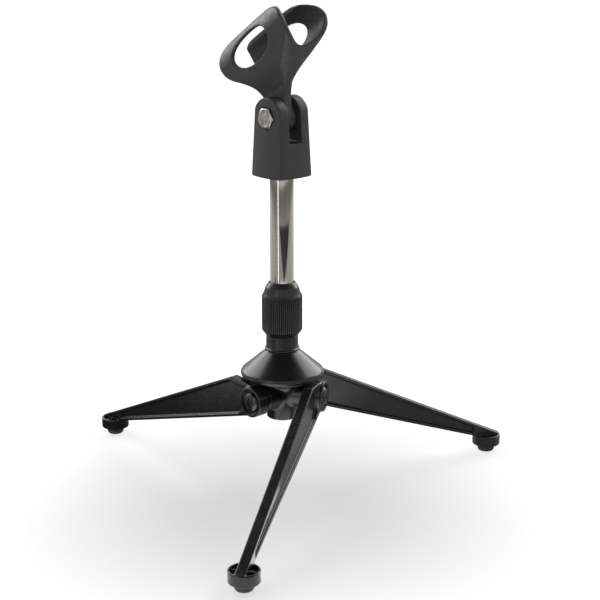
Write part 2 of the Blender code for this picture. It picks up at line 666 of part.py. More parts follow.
def build_all():
    """Make every sub-part of the stand."""
    clear_scene()
    materials = {
        "casting": finish_material("black_casting", (0.018, 0.018, 0.019), 0.32, 0.0),
        "black_plastic": finish_material("black_plastic", (0.045, 0.045, 0.047), 0.55, 0.0),
        "chrome": finish_material("chrome_tube", (0.75, 0.74, 0.71), 0.12, 1.0),
        "nickel": finish_material("nickel_steel", (0.55, 0.54, 0.51), 0.35, 1.0),
        "screw_steel": finish_material("black_steel", (0.06, 0.06, 0.065), 0.35, 1.0),
        "brass": finish_material("brass", (0.70, 0.52, 0.25), 0.35, 1.0),
        "nylon": finish_material("black_nylon", (0.05, 0.05, 0.05), 0.5, 0.0),
        "rubber": finish_material("black_rubber", (0.03, 0.03, 0.03), 0.8, 0.0),
    }
    column = empty("column_frame", (0.0, STAND_Y, 0.0))
    build_legs(materials)
    build_hub(materials, column)
    build_column(materials, column)
    build_collet(materials, column)
    build_clutch(materials, empty("clutch_turn", (0.0, STAND_Y, 0.0)))
    build_tube(materials, empty("tube_slide", (0.0, STAND_Y, 0.0)))
    head = empty("clip_swivel", (0.0, STAND_Y, 0.0), HEAD_AZIMUTH)
    build_yoke(materials, head)
    build_pivot(materials, head)
    build_tilt_washers(materials, head)
    build_clip(materials, empty("clip_tilt", (0.0, STAND_Y, TILT_Z), HEAD_AZIMUTH + 90.0, -CLIP_TILT))


build_all()
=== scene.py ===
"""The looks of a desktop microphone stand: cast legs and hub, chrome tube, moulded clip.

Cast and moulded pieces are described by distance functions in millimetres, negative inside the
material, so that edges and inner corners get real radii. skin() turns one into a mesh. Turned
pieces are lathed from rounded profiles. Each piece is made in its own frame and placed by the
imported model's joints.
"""

import json
import math

import bmesh
import bpy
import numpy as np
from mathutils import Matrix, Vector


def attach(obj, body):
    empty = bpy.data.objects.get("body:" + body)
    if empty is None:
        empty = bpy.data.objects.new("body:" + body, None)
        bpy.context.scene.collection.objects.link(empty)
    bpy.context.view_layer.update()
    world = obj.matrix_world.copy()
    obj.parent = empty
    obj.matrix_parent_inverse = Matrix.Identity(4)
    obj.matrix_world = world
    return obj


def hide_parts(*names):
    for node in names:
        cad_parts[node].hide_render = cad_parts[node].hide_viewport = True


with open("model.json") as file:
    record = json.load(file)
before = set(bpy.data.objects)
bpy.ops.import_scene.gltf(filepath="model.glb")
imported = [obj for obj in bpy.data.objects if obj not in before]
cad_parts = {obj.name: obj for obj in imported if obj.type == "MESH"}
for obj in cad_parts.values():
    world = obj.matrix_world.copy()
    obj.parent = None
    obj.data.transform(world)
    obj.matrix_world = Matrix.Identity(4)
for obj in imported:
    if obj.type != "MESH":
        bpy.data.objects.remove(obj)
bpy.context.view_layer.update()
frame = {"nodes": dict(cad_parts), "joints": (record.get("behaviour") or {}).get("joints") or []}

MM = 0.001
GAP = 0.3

# Leg, in its screw's frame: x along the leg, y outwards along the screw, z up
FOOT_X = 160.83
PIVOT_Z = 66.5
KNUCKLE = 10.5
KNUCKLE_FACES = (-3.7, 5.8)
RECESS = 8.4
RECESS_FLOOR = 3.6
BLADE_HALF = 3.4
WEB_HALF = 1.5
RIM = 2.6
SHOULDER_X = 22.0
SHOULDER_Z = 12.7
TOP_SLOPE = 0.448
BOTTOM_SLOPE = 0.293
BOTTOM_AT_PIVOT = -9.95
BOSS = 10.1
BOSS_Z = (-61.5, -53.7)
BOSS_WALL = 1.7
POCKET_DEPTH = 2.2
SCREW_HOLE = 2.9
STEM_HOLE = 3.3
STEM_HOLE_TOP = -57.2
WASHER_FACES = (-5.2, -4.0)
CUP_START = 138.0               # here the blade's edges start to run into the cup
CUP_BLEND = 10.0
EDGE_BAND = 3.0                 # share of the grid along each edge of the blade, and between them
MIDDLE_BAND = 16.0

# Screw
SCREW_SEAT = 3.9
SCREW_HEAD = 6.7
SCREW_HEAD_HEIGHT = 3.4
SCREW_SHANK = 2.6
SCREW_LENGTH = 14.5
CROSS_REACH = 3.3
CROSS_HALF = 0.75
CROSS_DEPTH = 1.9

# Hub
HUB_BOTTOM = 49.6
HUB_TOP = 98.3
HUB_NECK = 10.8
HUB_FLARE = 11.5
RIM_UNDERSIDE = 78.8
HUB_RIM = 28.5
RIM_ROUND = 3.2
CONE_TOP = 11.9
LUG = 8.9
LUG_FACE = 19.1
HUB_BORE = 8.9
SEAT_RADIUS = 10.6
SEAT_Z = 80.3

# Clutch
KNURL_RIBS = 60
KNURL_DEPTH = 0.6
GROOVE_WIDTH = 0.75             # share of the ribs' sine wave that a groove takes
KNURL_INNER = 13.4              # the ribs lie outside this radius, between these heights
KNURL_SPAN = (111.9, 136.2)

# Clip
CLIP_LEAN = 31.5
TILT_Z = 256.6
SLOT_HALF = 5.3
SLOT_FLOOR = 240.4
YOKE_BOTTOM = 217.5
YOKE_HALF = (14.3, 12.8)        # at the bottom and at the pivot
YOKE_BULGE = (1.9, 0.9)         # how far the middle of a side stands proud, likewise
INSERT_POCKET = (10.5, 233.9)   # radius and top
EAR_HEIGHT = 13.4
HEX_APOTHEM = 6.5
HEX_SEAT = 9.8
HEX_FACE = 14.9
NUT_SET_BACK = 1.5              # the nut's face lies this much deeper than the bolt's
BOLT = 3.9
TILT_WASHER = 8.6
TILT_WASHER_FACES = (3.95, 5.1)
TONGUE = 10.5
TONGUE_HALF = 3.75
TROUGH_Z = 44.7
TROUGH = 15.0
CLIP_WALL = 3.4
MOUTH_HALF = 8.5
MOUTH_TOP = 66.0
CLIP_TAPER = 0.0022             # the clip widens towards its front by this share for each mm
TAPER_X = 15.0
WINDOW_CENTRE = (14.1, 44.0)
WINDOW_HALF = (20.5, 10.0)
WINDOW_POWER = 2.2

# Studio, in metres and degrees
CAMERA_PLACE = (0.1289, -0.8664, 0.3863)
CAMERA_TILT = 74.51
CAMERA_TURN = 7.33
FOCAL_LENGTH = 84.42            # of a lens on a 36 mm wide sensor
SENSOR_WIDTH = 36.0
BOX_SIZE = (1.1, 1.3)
BOX_DISTANCE = 1.6
BOX_AIM = (0.0, 0.0, 0.15)
FLOOR_HALF = 8.0
# radius of the painted soft shadow on the floor
PAINTED_SHADOW_RADIUS = 0.34
DULL_FLOOR_RISE = 0.0001
CARD_STEPS = 24
SKY_PALE = (30.0, 0.8)          # elevation below which the surroundings have this strength
SKY_DARK = (56.0, 0.05)         # elevation above which they have this one
SKY_SEEN = 1.1                  # strength in the camera's own view

JOINTS = {joint["name"]: joint for joint in frame["joints"]}
STAND_Y = JOINTS["clip_swivel"]["pos_m"][1]
FINE = 1.0

# Meshing, in millimetres
SETTLE_ROUNDS = 3               # how often each point is moved onto the surface
SETTLE_PROBE = 0.02
SETTLE_LIMIT = 0.3
NORMAL_PROBE = 0.06
ON_AXIS = 0.001
WELD = 0.0005
SHARP_ANGLE = math.radians(50.0)
NOISE_RANGE = (0.3, 0.7)        # most of a noise's values lie in here


# --- Distance functions -----------------------------------------------------------------------

def both(first, second, radius=0.0):
    """Where two shapes overlap; their common edge gets this radius."""
    outside = np.hypot(np.maximum(radius + first, 0.0), np.maximum(radius + second, 0.0))
    return np.minimum(-radius, np.maximum(first, second)) + outside


def either(first, second, radius=0.0):
    """Two shapes joined, with a fillet of this radius between them."""
    return -both(-first, -second, radius)


def without(first, second, radius=0.0):
    """The first shape less the second; the cut's edge gets this radius."""
    return both(first, -second, radius)


def between(value, low, high):
    """A slab between two levels."""
    return abs(value - (low + high) / 2.0) - (high - low) / 2.0


def inside_outline(u, v, outline):
    """Distance to a closed outline in the plane of u and v."""
    shape = np.broadcast(u, v).shape
    nearest = np.full(shape, np.inf)
    odd = np.zeros(shape, bool)
    for (u0, v0), (u1, v1) in zip(outline, outline[1:] + outline[:1]):
        du, dv = u1 - u0, v1 - v0
        share = np.clip(((u - u0) * du + (v - v0) * dv) / (du * du + dv * dv), 0.0, 1.0)
        nearest = np.minimum(nearest, (u - u0 - share * du) ** 2 + (v - v0 - share * dv) ** 2)
        odd ^= ((v0 > v) != (v1 > v)) & (u < u0 + (v - v0) * du / (dv or 1e-9))
    return np.where(odd, -1.0, 1.0) * np.sqrt(nearest)


def arc(centre, radius, start, end, steps):
    """Points along a circle's arc, in degrees."""
    angles = [math.radians(start + (end - start) * step / steps) for step in range(steps + 1)]
    return [(centre[0] + radius * math.cos(a), centre[1] + radius * math.sin(a)) for a in angles]


def oval(centre, half, power, steps=72):
    """A superellipse."""
    points = []
    for step in range(steps):
        x, y = math.cos(math.tau * step / steps), math.sin(math.tau * step / steps)
        points.append((centre[0] + half[0] * math.copysign(abs(x) ** (2 / power), x),
                       centre[1] + half[1] * math.copysign(abs(y) ** (2 / power), y)))
    return points


def smooth_path(points, steps=8):
    """A Catmull-Rom curve through the points, from the second one to the last but one."""
    path = []
    for before, start, end, after in zip(points, points[1:], points[2:], points[3:]):
        for step in range(steps):
            t = step / steps
            path.append(tuple(
                0.5 * (2 * start[k] + (end[k] - before[k]) * t
                       + (2 * before[k] - 5 * start[k] + 4 * end[k] - after[k]) * t * t
                       + (3 * start[k] - before[k] - 3 * end[k] + after[k]) * t ** 3)
                for k in range(2)))
    return path + [points[-2]]


def rounded(corners, steps=4):
    """A closed outline whose (x, y, radius) corners are replaced by arcs."""
    outline = []
    for index, (x, y, radius) in enumerate(corners):
        here = Vector((x, y))
        back = Vector(corners[index - 1][:2]) - here
        ahead = Vector(corners[(index + 1) % len(corners)][:2]) - here
        angle = back.angle(ahead)
        if radius <= 0.0 or angle > math.pi - 0.02:
            outline.append((x, y))
            continue
        reach = radius / math.tan(angle / 2.0)
        inward = (back.normalized() + ahead.normalized()).normalized()
        centre = here + inward * radius / math.sin(angle / 2.0)
        first = here + back.normalized() * reach - centre
        last = here + ahead.normalized() * reach - centre
        start = math.atan2(first.y, first.x)
        sweep = (math.atan2(last.y, last.x) - start + math.pi) % math.tau - math.pi
        outline += arc(centre, radius, math.degrees(start), math.degrees(start + sweep), steps)
    return outline


# --- Meshes -----------------------------------------------------------------------------------

def zones(*stretches):
    """Grid lines over stretches of (start, end, cell size)."""
    lines = [np.array([stretches[0][0]])]
    for start, end, size in stretches:
        count = max(1, round((end - start) / (size * FINE)))
        lines.append(np.linspace(start, end, count + 1)[1:])
    return np.concatenate(lines)


def slope(shape, points, step):
    """Gradient of a distance function at each point."""
    columns = []
    for axis in range(3):
        shift = np.zeros(3)
        shift[axis] = step
        columns.append((shape(*(points + shift).T) - shape(*(points - shift).T)) / (2.0 * step))
    return np.stack(columns, 1)


def corner(array, index):
    """The values at one of the eight corners of every cell."""
    starts = (index & 1, index >> 1 & 1, index >> 2)
    return array[tuple(slice(start, size - 1 + start) for start, size in zip(starts, array.shape))]


def cell_points(values, places, cells):
    """For each crossed cell, the middle of the points where its edges meet the surface."""
    total = np.zeros((len(cells[0]), 3))
    count = np.zeros(len(cells[0]))
    for first in range(8):
        for bit in (1, 2, 4):
            if first & bit:
                continue
            start, end = corner(values, first)[cells], corner(values, first | bit)[cells]
            cut = (start < 0.0) != (end < 0.0)
            share = np.where(cut, start / np.where(cut, start - end, 1.0), 0.0)[:, None]
            here, there = corner(places, first)[cells], corner(places, first | bit)[cells]
            total += np.where(cut[:, None], here + share * (there - here), 0.0)
            count += cut
    return total / count[:, None]


def cell_faces(inside, number):
    """One quad round each grid edge that the surface crosses, facing outwards."""
    quads = []
    for axis in range(3):
        second, third = (axis + 1) % 3, (axis + 2) % 3
        low = np.take(inside, range(inside.shape[axis] - 1), axis)
        high = np.take(inside, range(1, inside.shape[axis]), axis)
        spots = np.nonzero(low != high)
        ring = []
        for back_second, back_third in ((1, 1), (0, 1), (0, 0), (1, 0)):
            near = list(spots)
            near[second] = near[second] - back_second
            near[third] = near[third] - back_third
            ring.append(number[tuple(near)])
        quad = np.stack(ring, 1)
        turned = ~low[spots]
        quad[turned] = quad[turned][:, ::-1]
        quads.append(quad)
    return np.concatenate(quads)


def skin(name, shape, spans, warp=None):
    """Mesh the surface where a distance function is zero, with one point in each crossed cell."""
    grid = np.meshgrid(*spans, indexing="ij", sparse=True)
    if warp:
        grid = warp(*grid)
    values = np.broadcast_to(shape(*grid), [len(span) for span in spans])
    places = np.stack([np.broadcast_to(line, values.shape) for line in grid], -1)
    inside = values < 0.0
    crossed = sum(corner(inside, index).astype(np.int8) for index in range(8))
    cells = np.nonzero((crossed > 0) & (crossed < 8))
    number = np.full(crossed.shape, -1)
    number[cells] = np.arange(len(cells[0]))
    points = cell_points(values, places, cells)
    for _ in range(SETTLE_ROUNDS):
        lean = slope(shape, points, SETTLE_PROBE)
        steep = np.maximum((lean ** 2).sum(1), 0.05)
        move = np.clip(shape(*points.T) / steep, -SETTLE_LIMIT, SETTLE_LIMIT)
        points -= move[:, None] * lean
    normals = slope(shape, points, NORMAL_PROBE)
    normals /= np.maximum(np.linalg.norm(normals, axis=1), 1e-9)[:, None]
    mesh = bpy.data.meshes.new(name)
    mesh.from_pydata((points * MM).tolist(), [], cell_faces(inside, number).tolist())
    mesh.shade_smooth()
    mesh.normals_split_custom_set_from_vertices(normals.tolist())
    return mesh


def lathe(name, outline, segments=96, swell=None):
    """Spin a closed (radius, height) outline round Z; swell(angle, index) changes a radius."""
    work = bmesh.new()
    rings = []
    for step in range(segments):
        angle = math.tau * step / segments
        ring = []
        for index, (radius, height) in enumerate(outline):
            out = radius + (swell(angle, index) if swell else 0.0)
            ring.append(work.verts.new((out * math.cos(angle), out * math.sin(angle), height)))
        rings.append(ring)
    for step in range(segments):
        here, there = rings[step], rings[(step + 1) % segments]
        for index in range(len(outline)):
            after = (index + 1) % len(outline)
            if max(outline[index][0], outline[after][0]) > ON_AXIS:
                work.faces.new((here[index], there[index], there[after], here[after]))
    bmesh.ops.remove_doubles(work, verts=work.verts, dist=WELD)
    bmesh.ops.recalc_face_normals(work, faces=work.faces)
    bmesh.ops.scale(work, vec=(MM, MM, MM), verts=work.verts)
    mesh = bpy.data.meshes.new(name)
    work.to_mesh(mesh)
    work.free()
    mesh.shade_smooth()
    mesh.set_sharp_from_angle(angle=SHARP_ANGLE)
    return mesh


def piece(name, mesh, material, place, body, slot, *nodes):
    """Put one mesh on a body in place of its CAD nodes."""
    mesh = mesh.copy()
    mesh.transform(place)
    mesh.materials.append(material)
    item = bpy.data.objects.new(name, mesh)
    bpy.context.scene.collection.objects.link(item)
    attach(item, body)
    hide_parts(*nodes)


def hinge_frame(name):
    """Frame of a leg's screw: y along the joint's axis, x along the leg."""
    joint = JOINTS[name]
    out = Vector(joint["axis"])
    along = Vector((out.y, -out.x, 0.0))
    turn = Matrix((along, out, Vector((0, 0, 1)))).transposed()
    return Matrix.Translation(joint["pos_m"]) @ turn.to_4x4()


def head_frame():
    """Frame of the yoke: x along the pivot bolt, origin at the foot of the stand's centre line."""
    bolt = Vector(JOINTS["clip_tilt"]["axis"])
    turn = Matrix((bolt, Vector((0, 0, 1)).cross(bolt), Vector((0, 0, 1)))).transposed()
    return Matrix.Translation((0.0, STAND_Y, 0.0)) @ turn.to_4x4()


def clip_frame():
    """Frame of the clip: x along the microphone, y against the bolt, origin at the pivot."""
    turn = Matrix.Rotation(math.pi / 2, 4, "Z") @ Matrix.Rotation(-math.radians(CLIP_LEAN), 4, "Y")
    return head_frame() @ Matrix.Translation((0, 0, TILT_Z * MM)) @ turn


def column_frame():
    """Frame of everything round the stand's centre line."""
    return Matrix.Translation((0.0, STAND_Y, 0.0))


# --- Materials --------------------------------------------------------------------------------

class Finish:
    """A Principled material and the few node patterns that the finishes here share."""

    def __init__(self, name, colour, roughness, metallic=0.0):
        self.material = bpy.data.materials.new(name)
        self.material.use_nodes = True
        self.tree = self.material.node_tree
        self.shader = self.tree.nodes["Principled BSDF"]
        self.shader.inputs["Base Color"].default_value = (*colour, 1.0)
        self.shader.inputs["Roughness"].default_value = roughness
        self.shader.inputs["Metallic"].default_value = metallic
        self.place = self.tree.nodes.new("ShaderNodeTexCoord").outputs["Object"]
        self.bump = None

    def noise(self, size, detail=3.0, stretch=(1.0, 1.0, 1.0)):
        """Noise with features of about this size in metres, longer along an axis if stretched."""
        mapping = self.tree.nodes.new("ShaderNodeMapping")
        mapping.inputs["Scale"].default_value = [1.0 / part for part in stretch]
        self.tree.links.new(self.place, mapping.inputs["Vector"])
        noise = self.tree.nodes.new("ShaderNodeTexNoise")
        noise.inputs["Scale"].default_value = 0.5 / size
        noise.inputs["Detail"].default_value = detail
        self.tree.links.new(mapping.outputs["Vector"], noise.inputs["Vector"])
        return noise.outputs["Fac"]

    def ramp(self, value, low, high):
        """Map the middle of a noise's range to low..high."""
        mapped = self.tree.nodes.new("ShaderNodeMapRange")
        mapped.inputs["From Min"].default_value = NOISE_RANGE[0]
        mapped.inputs["From Max"].default_value = NOISE_RANGE[1]
        mapped.inputs["To Min"].default_value = low
        mapped.inputs["To Max"].default_value = high
        self.tree.links.new(value, mapped.inputs["Value"])
        return mapped.outputs["Result"]

    def vary_colour(self, value, dark, light):
        """Base colour that wanders between two colours."""
        mix = self.tree.nodes.new("ShaderNodeMix")
        mix.data_type = "RGBA"
        mix.inputs["A"].default_value = (*dark, 1.0)
        mix.inputs["B"].default_value = (*light, 1.0)
        self.tree.links.new(self.ramp(value, 0.0, 1.0), mix.inputs["Factor"])
        self.tree.links.new(mix.outputs["Result"], self.shader.inputs["Base Color"])

    def vary_roughness(self, value, low, high):
        """Roughness that wanders between two values."""
        self.tree.links.new(self.ramp(value, low, high), self.shader.inputs["Roughness"])

    def glow_outwards(self, radius, middle, outside):
        """White light given off, from one strength at the middle to another beyond a radius."""
        distance = self.tree.nodes.new("ShaderNodeVectorMath")
        distance.operation = "LENGTH"
        self.tree.links.new(self.place, distance.inputs[0])
        ramp = self.tree.nodes.new("ShaderNodeMapRange")
        ramp.interpolation_type = "SMOOTHSTEP"
        ramp.inputs["From Max"].default_value = radius
        ramp.inputs["To Min"].default_value = middle
        ramp.inputs["To Max"].default_value = outside
        self.tree.links.new(distance.outputs["Value"], ramp.inputs["Value"])
        self.shader.inputs["Emission Color"].default_value = (1.0, 1.0, 1.0, 1.0)
        self.tree.links.new(ramp.outputs["Result"], self.shader.inputs["Emission Strength"])

    def relief(self, value, depth, strength=1.0):
        """Add a bump whose height is depth metres."""
        bump = self.tree.nodes.new("ShaderNodeBump")
        bump.inputs["Distance"].default_value = depth
        bump.inputs["Strength"].default_value = strength
        self.tree.links.new(value, bump.inputs["Height"])
        if self.bump:
            self.tree.links.new(self.bump, bump.inputs["Normal"])
        self.bump = bump.outputs["Normal"]
        self.tree.links.new(self.bump, self.shader.inputs["Normal"])


def casting_enamel():
    """Black enamel over a die casting: glossy, with the faint waviness of the metal below."""
    finish = Finish("black_enamel", (0.006, 0.006, 0.0062), 0.3)
    finish.shader.inputs["Specular IOR Level"].default_value = 0.45
    finish.vary_colour(finish.noise(0.012), (0.005, 0.005, 0.0052), (0.008, 0.0079, 0.0078))
    finish.vary_roughness(finish.noise(0.004, 5.0), 0.22, 0.3)
    finish.relief(finish.noise(0.003, 2.0), 0.000015, 0.5)
    finish.relief(finish.noise(0.0012, 2.0), 0.000003, 0.5)
    return finish.material


def moulded_plastic():
    """Black plastic with the fine grain of a spark-eroded mould."""
    finish = Finish("moulded_plastic", (0.017, 0.017, 0.0175), 0.5)
    finish.vary_colour(finish.noise(0.008), (0.015, 0.015, 0.0155), (0.02, 0.02, 0.02))
    finish.vary_roughness(finish.noise(0.002, 4.0), 0.42, 0.58)
    finish.relief(finish.noise(0.00035, 3.0), 0.00003, 0.7)
    return finish.material


def chrome():
    """Bright chrome with faint draw marks along the tube."""
    finish = Finish("chrome", (0.55, 0.54, 0.52), 0.1, 1.0)
    streaks = finish.noise(0.0009, 3.0, (1.0, 1.0, 60.0))
    finish.vary_colour(streaks, (0.50, 0.485, 0.455), (0.58, 0.57, 0.545))
    finish.vary_roughness(finish.noise(0.003, 4.0, (1.0, 1.0, 8.0)), 0.06, 0.14)
    finish.relief(streaks, 0.000012, 0.5)
    return finish.material


def nickel():
    """Dull nickel plate on the pivot bolt."""
    finish = Finish("nickel", (0.42, 0.405, 0.38), 0.34, 1.0)
    finish.vary_colour(finish.noise(0.0012, 5.0), (0.26, 0.25, 0.23), (0.56, 0.545, 0.51))
    finish.vary_roughness(finish.noise(0.0008, 4.0), 0.26, 0.44)
    finish.relief(finish.noise(0.0008, 3.0), 0.00003, 0.6)
    return finish.material


def black_steel():
    """Blackened steel of the leg screws and the stud."""
    finish = Finish("black_steel", (0.05, 0.05, 0.052), 0.3, 1.0)
    finish.vary_colour(finish.noise(0.0015), (0.035, 0.035, 0.037), (0.07, 0.068, 0.066))
    finish.vary_roughness(finish.noise(0.0009, 4.0), 0.22, 0.36)
    finish.relief(finish.noise(0.0006, 3.0), 0.00001, 0.5)
    return finish.material


def brass():
    """Turned brass with fine rings."""
    finish = Finish("turned_brass", (0.72, 0.53, 0.24), 0.3, 1.0)
    finish.vary_colour(finish.noise(0.003), (0.62, 0.45, 0.2), (0.78, 0.6, 0.3))
    finish.vary_roughness(finish.noise(0.0006, 3.0, (40.0, 40.0, 1.0)), 0.22, 0.4)
    finish.relief(finish.noise(0.0004, 2.0, (40.0, 40.0, 1.0)), 0.00001, 0.5)
    return finish.material


def nylon():
    """Smooth black nylon."""
    finish = Finish("nylon", (0.03, 0.03, 0.03), 0.42)
    finish.vary_colour(finish.noise(0.003), (0.026, 0.026, 0.027), (0.04, 0.04, 0.04))
    finish.vary_roughness(finish.noise(0.001, 4.0), 0.36, 0.5)
    finish.relief(finish.noise(0.0006, 3.0), 0.00001, 0.5)
    return finish.material


def rubber():
    """Matte rubber, a little dusty."""
    finish = Finish("rubber", (0.022, 0.022, 0.022), 0.75)
    finish.vary_colour(finish.noise(0.004, 5.0), (0.018, 0.018, 0.018), (0.04, 0.039, 0.038))
    finish.vary_roughness(finish.noise(0.0012, 4.0), 0.66, 0.85)
    finish.relief(finish.noise(0.0003, 3.0), 0.00003, 0.6)
    return finish.material


# --- Legs -------------------------------------------------------------------------------------

def leg_top(x):
    """Height of the leg's top edge."""
    return SHOULDER_Z - TOP_SLOPE * (np.maximum(x, SHOULDER_X) - SHOULDER_X)


def leg_bottom(x):
    """Height of the leg's bottom edge."""
    return BOTTOM_AT_PIVOT - BOTTOM_SLOPE * np.maximum(x, 0.0)


def blade_outline():
    """Side view of the blade, from the screw to the far side of the foot."""
    end = FOOT_X + BOSS - 1.0
    floor = BOSS_Z[0] + 3.0
    low_end = (BOTTOM_AT_PIVOT - floor) / BOTTOM_SLOPE
    return [(0.0, BOTTOM_AT_PIVOT), (low_end, floor), (end, floor), (end, leg_top(end)),
            (SHOULDER_X, SHOULDER_Z), (0.0, KNUCKLE)]


def web_outline():
    """The sunk panel between the rims."""
    end = FOOT_X - BOSS - 1.5
    start = arc((0.0, 0.0), KNUCKLE + 0.9, 42, -36, 10)
    low = [(x, leg_bottom(x) + RIM * 1.04) for x in (15.0, end)]
    high = [(x, leg_top(x) - RIM * 1.1) for x in (end, SHOULDER_X + 2.0)]
    return start + low + high + [(15.0, KNUCKLE - RIM)]


def foot_boss(x, y, z):
    """The cup at the end of the leg, crossed by the blade's top flange and two small ribs."""
    radius = np.hypot(x - FOOT_X, y)
    boss = both(radius - BOSS, between(z, *BOSS_Z), 0.9)
    pocket = both(radius - (BOSS - BOSS_WALL), BOSS_Z[1] - POCKET_DEPTH - z, 0.5)
    pocket = without(pocket, abs(y) - BLADE_HALF, 0.5)
    rib = both(abs(x - FOOT_X) - 0.7, z - (BOSS_Z[1] - 0.7), 0.3)
    return without(boss, without(pocket, rib, 0.4), 0.5)


def leg_shape(x, y, z):
    """One leg."""
    blade = both(inside_outline(x, z, blade_outline()), abs(y) - BLADE_HALF, 0.8)
    panel = inside_outline(x, z, web_outline()) - 0.2 * (abs(y) - WEB_HALF)
    blade = without(blade, both(panel, WEB_HALF - abs(y), 0.7), 0.6)
    spot = np.hypot(x, z)
    knuckle = both(spot - KNUCKLE, between(y, *KNUCKLE_FACES), 0.7)
    leg = either(either(blade, knuckle, 1.2), foot_boss(x, y, z), 0.8)
    leg = without(leg, both(spot - RECESS, RECESS_FLOOR - y, 0.5), 0.4)
    leg = without(leg, spot - SCREW_HOLE, 0.2)
    stem = both(np.hypot(x - FOOT_X, y) - STEM_HOLE, z - STEM_HOLE_TOP, 0.2)
    return without(leg, stem, 0.3)


def leg_grid(x, y, s):
    """Bend a grid so that its lines follow the leg's two edges: s runs from under to over it."""
    toward = np.clip((x - CUP_START) / CUP_BLEND, 0.0, 1.0)
    low = leg_bottom(x) * (1.0 - toward) + BOSS_Z[0] * toward
    high = np.maximum(leg_top(x), BOSS_Z[1])
    share = (s - EDGE_BAND) / MIDDLE_BAND
    middle = low + EDGE_BAND + (high - low - 2 * EDGE_BAND) * share
    upper = high + s - (2 * EDGE_BAND + MIDDLE_BAND)
    outer = np.where(s > EDGE_BAND + MIDDLE_BAND, upper, middle)
    return x, y, np.where(s < EDGE_BAND, low + s, outer)


def leg_mesh():
    """The mesh that the three legs share."""
    along = zones((-11.6, 18.0, 0.55), (18.0, CUP_START, 1.5), (CUP_START, 171.8, 0.55))
    across = zones((-10.9, -4.4, 0.6), (-4.4, 6.5, 0.4), (6.5, 10.9, 0.6))
    band = EDGE_BAND + MIDDLE_BAND
    up = zones((-1.6, EDGE_BAND, 0.42), (EDGE_BAND, band, 0.75), (band, 23.6, 0.42))
    return skin("leg", leg_shape, (along, across, up), leg_grid)


def screw_shape(x, y, z):
    """Cross-recess screw along y, with its head's top outwards."""
    radius = np.hypot(x, z)
    top = SCREW_SEAT + SCREW_HEAD_HEIGHT
    dome = np.hypot(radius / SCREW_HEAD, np.maximum(y - SCREW_SEAT, 0.0) / SCREW_HEAD_HEIGHT)
    head = both((dome - 1.0) * SCREW_HEAD_HEIGHT, SCREW_SEAT - y, 0.3)
    shank = both(radius - SCREW_SHANK, between(y, top - SCREW_LENGTH, SCREW_SEAT + 0.5), 0.3)
    depth = np.maximum(top - y, 0.0)
    arms = []
    for long, short in ((abs(x), abs(z)), (abs(z), abs(x))):
        arms.append(both(long - CROSS_REACH + 0.7 * depth, short - CROSS_HALF + 0.12 * depth, 0.1))
    cross = both(either(arms[0], arms[1], 0.5), top - CROSS_DEPTH - y, 0.2)
    return without(either(head, shank), cross, 0.2)


def screw_mesh():
    """The mesh that the three leg screws share."""
    side = zones((-7.0, 7.0, 0.25))
    return skin("leg_screw", screw_shape, (side, zones((-7.6, 3.4, 0.6), (3.4, 7.6, 0.2)), side))


def foot_mesh():
    """Rubber foot: a slightly barrelled pad with a stem, and a shallow ring moulded underneath."""
    low = -PIVOT_Z
    pad = [(0.0, low + 0.5, 0), (2.6, low + 0.5, 0.3), (3.1, low, 0.3), (5.2, low, 0.9),
           (6.05, low + 1.3, 1.2), (6.2, low + 2.8, 1.5), (6.0, low + 4.7, 0.6),
           (3.0, low + 4.7, 0.2), (3.0, low + 9.0, 0.5), (0.0, low + 9.0, 0)]
    mesh = lathe("rubber_foot", rounded(pad), 64)
    mesh.transform(Matrix.Translation((FOOT_X * MM, 0.0, 0.0)))
    return mesh


def washer_mesh(name, inner, outer, low, high):
    """A thin washer with its edges broken."""
    corners = [(inner, low, 0.2), (outer, low, 0.3), (outer, high, 0.3), (inner, high, 0.2)]
    return lathe(name, rounded(corners, 3), 64)


def build_legs(materials):
    """Three legs with their feet, screws and washers."""
    flip = Matrix.Rotation(-math.pi / 2, 4, "X")
    washer = washer_mesh("leg_washer", SCREW_HOLE, RECESS, *WASHER_FACES)
    washer.transform(flip)
    leg, foot, screw = leg_mesh(), foot_mesh(), screw_mesh()
    for side in ("front", "right", "left"):
        place = hinge_frame("leg_%s_fold" % side)
        body = "leg_" + side
        piece("cast_leg_" + side, leg, materials["enamel"], place, body, "black_casting",
              "leg_" + side)
        piece("foot_pad_" + side, foot, materials["rubber"], place, body, "black_rubber",
              "rubber_foot_" + side)
        piece("cross_screw_" + side, screw, materials["black_steel"], place, "base", "black_steel",
              "leg_screw_" + side)
        piece("friction_washer_" + side, washer, materials["nylon"], place, "base", "black_nylon",
              "leg_washer_" + side)


# --- Hub, column and clutch -------------------------------------------------------------------

def hub_outline():
    """Right half of the hub: neck, flare, rounded rim and cone."""
    flare = arc((HUB_NECK + HUB_FLARE, RIM_UNDERSIDE - HUB_FLARE), HUB_FLARE, 180, 90, 14)
    rim = arc((HUB_RIM - RIM_ROUND, RIM_UNDERSIDE + RIM_ROUND), RIM_ROUND, -90, 44, 12)
    foot = arc((HUB_NECK - 1.2, HUB_BOTTOM + 1.2), 1.2, -90, 0, 6)
    top = [(CONE_TOP + 0.1, HUB_TOP - 0.9), (CONE_TOP - 0.5, HUB_TOP)]
    return [(-1.0, HUB_BOTTOM)] + foot + flare + rim + top + [(-1.0, HUB_TOP)]


